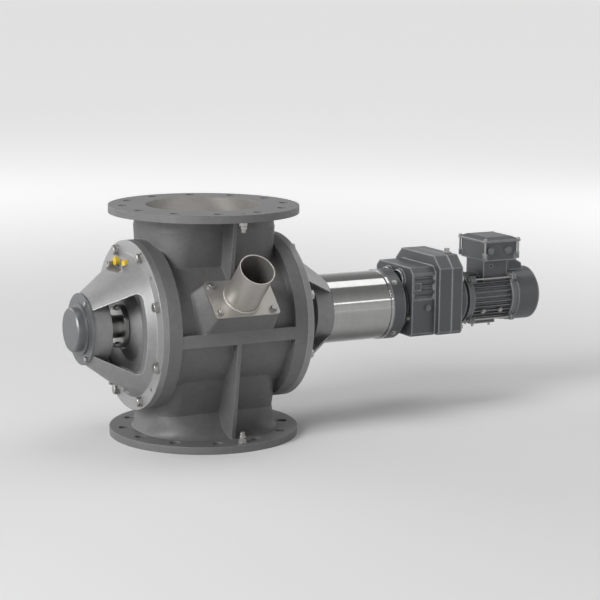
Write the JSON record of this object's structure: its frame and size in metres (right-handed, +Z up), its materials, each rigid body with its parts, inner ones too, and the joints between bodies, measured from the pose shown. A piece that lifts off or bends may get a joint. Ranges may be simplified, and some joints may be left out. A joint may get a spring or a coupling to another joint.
{
  "type": "rotary airlock valve",
  "caption": "Drop-through rotary airlock valve with round flanges, outboard bearings, a gas vent and a geared motor on its shaft.",
  "frame": {"origin": "centre of the outlet flange's bottom face", "axes": "+X along the rotor shaft towards the motor, -Y the vent side, +Z up through the inlet flange"},
  "size_m": [1.154, 0.489, 0.5],
  "materials": {
    "cast_grey": "blasted and clear coated",
    "cover_grey": "satin",
    "bright_steel": "bright",
    "turned_steel": "turned",
    "bearing_steel": "ground",
    "zinc_steel": "zinc plated",
    "vent_stainless": "brushed",
    "polished_stainless": "polished",
    "drive_paint": "satin paint",
    "cast_aluminium": "cast",
    "turned_brass": "turned",
    "winding_copper": "varnished winding",
    "seal_rubber": "matte",
    "packing_cord": "woven",
    "yellow_plastic": "moulded",
    "black_plastic": "moulded"
  },
  "bodies": {
    "frame": {"housing": "cast_grey", "blind_cover": "cover_grey", "drive_cover": "cover_grey", "cover_bolts": "bright_steel", "cover_washers": "bright_steel", "cover_seals": "seal_rubber", "bearing_outers": "bearing_steel", "bearing_rollers": "bearing_steel", "packing_rings": "packing_cord", "purge_rings": "turned_brass", "packing_glands": "turned_steel", "gland_studs": "bright_steel", "bearing_cap": "zinc_steel", "cap_screws": "bright_steel", "purge_plugs": "yellow_plastic", "vent_gasket": "seal_rubber", "vent_plate": "vent_stainless", "vent_tube": "vent_stainless", "vent_bolts": "bright_steel", "earth_bolts": "bright_steel", "lantern_sleeve": "polished_stainless", "sleeve_screws": "bright_steel", "gear_case": "drive_paint", "gear_cover": "drive_paint", "case_screws": "bright_steel", "bore_caps": "drive_paint", "oil_plugs": "bright_steel", "breather": "bright_steel", "oil_seals": "seal_rubber", "drive_bearing_outers": "bearing_steel", "drive_bearing_rollers": "bearing_steel", "motor_flange": "drive_paint", "motor_frame": "drive_paint", "motor_rear_shield": "drive_paint", "stator_core": "bearing_steel", "stator_windings": "winding_copper", "fan_cowl": "drive_paint", "terminal_box": "drive_paint", "blanking_plugs": "black_plastic", "terminal_lid": "drive_paint", "terminal_block": "black_plastic", "motor_screws": "bright_steel"},
    "rotor_line": {"rotor": "turned_steel", "rotor_shaft": "turned_steel", "bearing_inners": "bearing_steel", "shaft_nuts": "bearing_steel", "rotor_coupling_hub": "turned_steel", "drive_coupling_hub": "turned_steel", "coupling_spider": "seal_rubber", "output_shaft": "turned_steel", "output_gear": "bearing_steel", "output_bearing_inners": "bearing_steel"},
    "layshaft_line": {"layshaft": "bearing_steel", "layshaft_gear": "bearing_steel", "layshaft_bearing_inners": "bearing_steel"},
    "motor_line": {"motor_shaft": "turned_steel", "motor_rotor_core": "cast_aluminium", "motor_pinion": "bearing_steel", "motor_bearing_inners": "bearing_steel", "motor_fan": "black_plastic"}
  },
  "joints": [
    {"name": "rotor_spin", "type": "hinge", "parent": "frame", "child": "rotor_line", "pos_m": [0, 0, 0.25], "axis": [1, 0, 0], "continuous": true},
    {"name": "layshaft_spin", "type": "hinge", "parent": "frame", "child": "layshaft_line", "pos_m": [0.5, -0.025, 0.30674], "axis": [1, 0, 0], "continuous": true},
    {"name": "motor_spin", "type": "hinge", "parent": "frame", "child": "motor_line", "pos_m": [0.6, 0, 0.25], "axis": [1, 0, 0], "continuous": true}
  ],
  "couplings": [
    {"joint": "layshaft_spin", "follows": "rotor_spin", "ratio": -2.875},
    {"joint": "motor_spin", "follows": "rotor_spin", "ratio": 7.6103}
  ]
}
